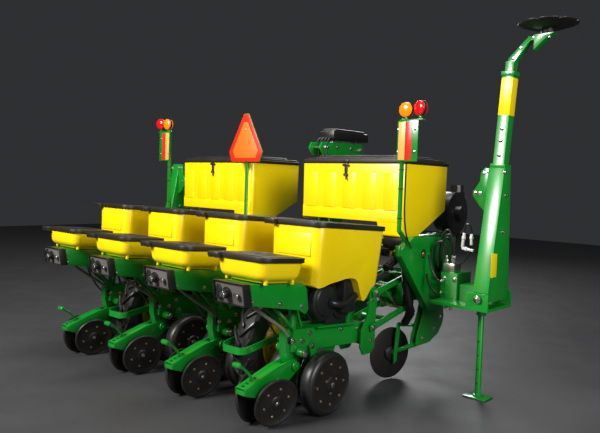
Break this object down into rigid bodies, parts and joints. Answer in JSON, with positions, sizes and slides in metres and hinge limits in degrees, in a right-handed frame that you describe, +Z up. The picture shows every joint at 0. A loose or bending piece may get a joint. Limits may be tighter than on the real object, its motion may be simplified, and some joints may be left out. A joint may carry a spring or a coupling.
{
  "type": "corn planter",
  "caption": "Mounted row-crop planter with parallel-linkage row units, seed and granule hoppers, dry fertiliser tanks, transport wheels and folding row markers.",
  "frame": {"origin": "middle of the front face of the hitch cross plate, on the machine's mid-plane", "axes": "+Y forwards along the direction of travel, out of the hitch face; +X to the machine's right; +Z up"},
  "size_m": [4.1301, 2.4945, 2.5517],
  "materials": {
    "green_paint": "gloss",
    "yellow_plastic": "gloss",
    "lid_plastic": "satin",
    "tyre_rubber": "matte",
    "wheel_rubber": "satin",
    "disc_steel": "satin"
  },
  "bodies": {
    "machine": {"toolbar": "green_paint", "end_plate_left": "green_paint", "end_plate_right": "green_paint", "tank_left": "yellow_plastic", "tank_right": "yellow_plastic"},
    "row1_upper": {"row1_upper_links": "green_paint"},
    "row1_lower": {"row1_lower_links": "green_paint"},
    "row1_unit": {"row1_frame": "green_paint", "row1_seed_hopper": "yellow_plastic", "row1_granular_hopper": "yellow_plastic"},
    "row1_seed_cover": {"row1_seed_lid": "lid_plastic"},
    "row1_granular_cover": {"row1_granular_lid": "lid_plastic"},
    "row1_gauge": {"row1_gauge_wheels": "wheel_rubber"},
    "row1_closer": {"row1_closing_arm": "green_paint"},
    "row1_press_left": {"row1_closing_wheel_left": "disc_steel"},
    "row1_press_right": {"row1_closing_wheel_right": "disc_steel"},
    "row2_upper": {"row2_upper_links": "green_paint"},
    "row2_lower": {"row2_lower_links": "green_paint"},
    "row2_unit": {"row2_frame": "green_paint", "row2_seed_hopper": "yellow_plastic", "row2_granular_hopper": "yellow_plastic"},
    "row2_seed_cover": {"row2_seed_lid": "lid_plastic"},
    "row2_granular_cover": {"row2_granular_lid": "lid_plastic"},
    "row2_gauge": {"row2_gauge_wheels": "wheel_rubber"},
    "row2_closer": {"row2_closing_arm": "green_paint"},
    "row2_press_left": {"row2_closing_wheel_left": "disc_steel"},
    "row2_press_right": {"row2_closing_wheel_right": "disc_steel"},
    "row3_upper": {"row3_upper_links": "green_paint"},
    "row3_lower": {"row3_lower_links": "green_paint"},
    "row3_unit": {"row3_frame": "green_paint", "row3_seed_hopper": "yellow_plastic", "row3_granular_hopper": "yellow_plastic"},
    "row3_seed_cover": {"row3_seed_lid": "lid_plastic"},
    "row3_granular_cover": {"row3_granular_lid": "lid_plastic"},
    "row3_gauge": {"row3_gauge_wheels": "wheel_rubber"},
    "row3_closer": {"row3_closing_arm": "green_paint"},
    "row3_press_left": {"row3_closing_wheel_left": "disc_steel"},
    "row3_press_right": {"row3_closing_wheel_right": "disc_steel"},
    "row4_upper": {"row4_upper_links": "green_paint"},
    "row4_lower": {"row4_lower_links": "green_paint"},
    "row4_unit": {"row4_frame": "green_paint", "row4_seed_hopper": "yellow_plastic", "row4_granular_hopper": "yellow_plastic"},
    "row4_seed_cover": {"row4_seed_lid": "lid_plastic"},
    "row4_granular_cover": {"row4_granular_lid": "lid_plastic"},
    "row4_gauge": {"row4_gauge_wheels": "wheel_rubber"},
    "row4_closer": {"row4_closing_arm": "green_paint"},
    "row4_press_left": {"row4_closing_wheel_left": "disc_steel"},
    "row4_press_right": {"row4_closing_wheel_right": "disc_steel"},
    "rockshaft": {"wheel_rockshaft": "green_paint"},
    "tyre_left": {"transport_wheel_left": "tyre_rubber"},
    "tyre_right": {"transport_wheel_right": "tyre_rubber"},
    "tank_cover_left": {"tank_lid_left": "lid_plastic"},
    "tank_cover_right": {"tank_lid_right": "lid_plastic"},
    "marker_right": {"marker_arm_right": "green_paint"},
    "marker_left": {"marker_arm_left": "green_paint"},
    "marker_outer": {"marker_slide": "lid_plastic"},
    "disc": {"marker_disc": "disc_steel"},
    "right_stand": {"stand_right": "green_paint"},
    "left_stand": {"stand_left": "green_paint"}
  },
  "joints": [
    {"name": "row1_lift", "type": "hinge", "parent": "machine", "child": "row1_upper", "pos_m": [-1.05, -0.55196, 0.10881], "axis": [-1, 0, 0], "range_deg": [0, 25]},
    {"name": "row1_lower_link", "type": "hinge", "parent": "machine", "child": "row1_lower", "pos_m": [-1.05, -0.5687, -0.13061], "axis": [-1, 0, 0], "range_deg": [0, 25]},
    {"name": "row1_level", "type": "hinge", "parent": "row1_upper", "child": "row1_unit", "pos_m": [-1.05, -0.96396, 0.01681], "axis": [-1, 0, 0], "range_deg": [-25, 0]},
    {"name": "row1_seed_lid_hinge", "type": "hinge", "parent": "row1_unit", "child": "row1_seed_cover", "pos_m": [-1.05, -0.98339, 0.45573], "axis": [-1, 0, 0], "range_deg": [0, 75]},
    {"name": "row1_granular_lid_hinge", "type": "hinge", "parent": "row1_unit", "child": "row1_granular_cover", "pos_m": [-1.05, -1.78952, 0.29558], "axis": [-1, 0, 0], "range_deg": [0, 75]},
    {"name": "row1_gauge_roll", "type": "hinge", "parent": "row1_unit", "child": "row1_gauge", "pos_m": [-1.05, -1.515, -0.495], "axis": [1, 0, 0], "continuous": true},
    {"name": "row1_closing_swing", "type": "hinge", "parent": "row1_unit", "child": "row1_closer", "pos_m": [-1.05, -1.70171, -0.36967], "axis": [-1, 0, 0], "range_deg": [0, 18]},
    {"name": "row1_press_roll_left", "type": "hinge", "parent": "row1_closer", "child": "row1_press_left", "pos_m": [-1.142, -1.93571, -0.54925], "axis": [-0.9661, -0.2054, -0.1564], "continuous": true},
    {"name": "row1_press_roll_right", "type": "hinge", "parent": "row1_closer", "child": "row1_press_right", "pos_m": [-0.958, -1.89971, -0.54925], "axis": [0.9661, -0.2054, -0.1564], "continuous": true},
    {"name": "row2_lift", "type": "hinge", "parent": "machine", "child": "row2_upper", "pos_m": [-0.35, -0.55196, 0.10881], "axis": [-1, 0, 0], "range_deg": [0, 25]},
    {"name": "row2_lower_link", "type": "hinge", "parent": "machine", "child": "row2_lower", "pos_m": [-0.35, -0.5687, -0.13061], "axis": [-1, 0, 0], "range_deg": [0, 25]},
    {"name": "row2_level", "type": "hinge", "parent": "row2_upper", "child": "row2_unit", "pos_m": [-0.35, -0.96396, 0.01681], "axis": [-1, 0, 0], "range_deg": [-25, 0]},
    {"name": "row2_seed_lid_hinge", "type": "hinge", "parent": "row2_unit", "child": "row2_seed_cover", "pos_m": [-0.35, -0.98339, 0.45573], "axis": [-1, 0, 0], "range_deg": [0, 75]},
    {"name": "row2_granular_lid_hinge", "type": "hinge", "parent": "row2_unit", "child": "row2_granular_cover", "pos_m": [-0.35, -1.78952, 0.29558], "axis": [-1, 0, 0], "range_deg": [0, 75]},
    {"name": "row2_gauge_roll", "type": "hinge", "parent": "row2_unit", "child": "row2_gauge", "pos_m": [-0.35, -1.515, -0.495], "axis": [1, 0, 0], "continuous": true},
    {"name": "row2_closing_swing", "type": "hinge", "parent": "row2_unit", "child": "row2_closer", "pos_m": [-0.35, -1.70171, -0.36967], "axis": [-1, 0, 0], "range_deg": [0, 18]},
    {"name": "row2_press_roll_left", "type": "hinge", "parent": "row2_closer", "child": "row2_press_left", "pos_m": [-0.442, -1.93571, -0.54925], "axis": [-0.9661, -0.2054, -0.1564], "continuous": true},
    {"name": "row2_press_roll_right", "type": "hinge", "parent": "row2_closer", "child": "row2_press_right", "pos_m": [-0.258, -1.89971, -0.54925], "axis": [0.9661, -0.2054, -0.1564], "continuous": true},
    {"name": "row3_lift", "type": "hinge", "parent": "machine", "child": "row3_upper", "pos_m": [0.35, -0.55196, 0.10881], "axis": [-1, 0, 0], "range_deg": [0, 25]},
    {"name": "row3_lower_link", "type": "hinge", "parent": "machine", "child": "row3_lower", "pos_m": [0.35, -0.5687, -0.13061], "axis": [-1, 0, 0], "range_deg": [0, 25]},
    {"name": "row3_level", "type": "hinge", "parent": "row3_upper", "child": "row3_unit", "pos_m": [0.35, -0.96396, 0.01681], "axis": [-1, 0, 0], "range_deg": [-25, 0]},
    {"name": "row3_seed_lid_hinge", "type": "hinge", "parent": "row3_unit", "child": "row3_seed_cover", "pos_m": [0.35, -0.98339, 0.45573], "axis": [-1, 0, 0], "range_deg": [0, 75]},
    {"name": "row3_granular_lid_hinge", "type": "hinge", "parent": "row3_unit", "child": "row3_granular_cover", "pos_m": [0.35, -1.78952, 0.29558], "axis": [-1, 0, 0], "range_deg": [0, 75]},
    {"name": "row3_gauge_roll", "type": "hinge", "parent": "row3_unit", "child": "row3_gauge", "pos_m": [0.35, -1.515, -0.495], "axis": [1, 0, 0], "continuous": true},
    {"name": "row3_closing_swing", "type": "hinge", "parent": "row3_unit", "child": "row3_closer", "pos_m": [0.35, -1.70171, -0.36967], "axis": [-1, 0, 0], "range_deg": [0, 18]},
    {"name": "row3_press_roll_left", "type": "hinge", "parent": "row3_closer", "child": "row3_press_left", "pos_m": [0.258, -1.93571, -0.54925], "axis": [-0.9661, -0.2054, -0.1564], "continuous": true},
    {"name": "row3_press_roll_right", "type": "hinge", "parent": "row3_closer", "child": "row3_press_right", "pos_m": [0.442, -1.89971, -0.54925], "axis": [0.9661, -0.2054, -0.1564], "continuous": true},
    {"name": "row4_lift", "type": "hinge", "parent": "machine", "child": "row4_upper", "pos_m": [1.05, -0.55196, 0.10881], "axis": [-1, 0, 0], "range_deg": [0, 25]},
    {"name": "row4_lower_link", "type": "hinge", "parent": "machine", "child": "row4_lower", "pos_m": [1.05, -0.5687, -0.13061], "axis": [-1, 0, 0], "range_deg": [0, 25]},
    {"name": "row4_level", "type": "hinge", "parent": "row4_upper", "child": "row4_unit", "pos_m": [1.05, -0.96396, 0.01681], "axis": [-1, 0, 0], "range_deg": [-25, 0]},
    {"name": "row4_seed_lid_hinge", "type": "hinge", "parent": "row4_unit", "child": "row4_seed_cover", "pos_m": [1.05, -0.98339, 0.45573], "axis": [-1, 0, 0], "range_deg": [0, 75]},
    {"name": "row4_granular_lid_hinge", "type": "hinge", "parent": "row4_unit", "child": "row4_granular_cover", "pos_m": [1.05, -1.78952, 0.29558], "axis": [-1, 0, 0], "range_deg": [0, 75]},
    {"name": "row4_gauge_roll", "type": "hinge", "parent": "row4_unit", "child": "row4_gauge", "pos_m": [1.05, -1.515, -0.495], "axis": [1, 0, 0], "continuous": true},
    {"name": "row4_closing_swing", "type": "hinge", "parent": "row4_unit", "child": "row4_closer", "pos_m": [1.05, -1.70171, -0.36967], "axis": [-1, 0, 0], "range_deg": [0, 18]},
    {"name": "row4_press_roll_left", "type": "hinge", "parent": "row4_closer", "child": "row4_press_left", "pos_m": [0.958, -1.93571, -0.54925], "axis": [-0.9661, -0.2054, -0.1564], "continuous": true},
    {"name": "row4_press_roll_right", "type": "hinge", "parent": "row4_closer", "child": "row4_press_right", "pos_m": [1.142, -1.89971, -0.54925], "axis": [0.9661, -0.2054, -0.1564], "continuous": true},
    {"name": "rockshaft_turn", "type": "hinge", "parent": "machine", "child": "rockshaft", "pos_m": [0, -0.63, -0.045], "axis": [-1, 0, 0], "range_deg": [-22, 0]},
    {"name": "wheel_roll_left", "type": "hinge", "parent": "rockshaft", "child": "tyre_left", "pos_m": [-0.7, -1.46, -0.338], "axis": [1, 0, 0], "continuous": true},
    {"name": "wheel_roll_right", "type": "hinge", "parent": "rockshaft", "child": "tyre_right", "pos_m": [0.7, -1.46, -0.338], "axis": [1, 0, 0], "continuous": true},
    {"name": "tank_lid_hinge_left", "type": "hinge", "parent": "machine", "child": "tank_cover_left", "pos_m": [-0.777, -0.182, 0.9265], "axis": [-1, 0, 0], "range_deg": [0, 75]},
    {"name": "tank_lid_hinge_right", "type": "hinge", "parent": "machine", "child": "tank_cover_right", "pos_m": [0.777, -0.182, 0.9265], "axis": [-1, 0, 0], "range_deg": [0, 75]},
    {"name": "marker_fold_right", "type": "hinge", "parent": "machine", "child": "marker_right", "pos_m": [1.798, -0.45, 0.035], "axis": [0, 1, 0], "range_deg": [0, 92]},
    {"name": "marker_fold_left", "type": "hinge", "parent": "machine", "child": "marker_left", "pos_m": [-1.798, -0.45, 0.035], "axis": [0, -1, 0], "range_deg": [0, 92]},
    {"name": "marker_reach", "type": "slide", "parent": "marker_right", "child": "marker_outer", "axis": [0.061, 0, 0.9981], "range_m": [0, 0.3]},
    {"name": "marker_disc_roll", "type": "hinge", "parent": "marker_outer", "child": "disc", "pos_m": [2.07704, -0.45, 1.78769], "axis": [0, 0, 1], "continuous": true},
    {"name": "stand_slide_right", "type": "slide", "parent": "machine", "child": "right_stand", "axis": [0, 0, 1], "range_m": [0, 0.35]},
    {"name": "stand_slide_left", "type": "slide", "parent": "machine", "child": "left_stand", "axis": [0, 0, 1], "range_m": [0, 0.35]}
  ],
  "couplings": [
    {"joint": "row1_lower_link", "follows": "row1_lift", "ratio": 1},
    {"joint": "row1_level", "follows": "row1_lift", "ratio": -1},
    {"joint": "row2_lower_link", "follows": "row2_lift", "ratio": 1},
    {"joint": "row2_level", "follows": "row2_lift", "ratio": -1},
    {"joint": "row3_lower_link", "follows": "row3_lift", "ratio": 1},
    {"joint": "row3_level", "follows": "row3_lift", "ratio": -1},
    {"joint": "row4_lower_link", "follows": "row4_lift", "ratio": 1},
    {"joint": "row4_level", "follows": "row4_lift", "ratio": -1}
  ]
}
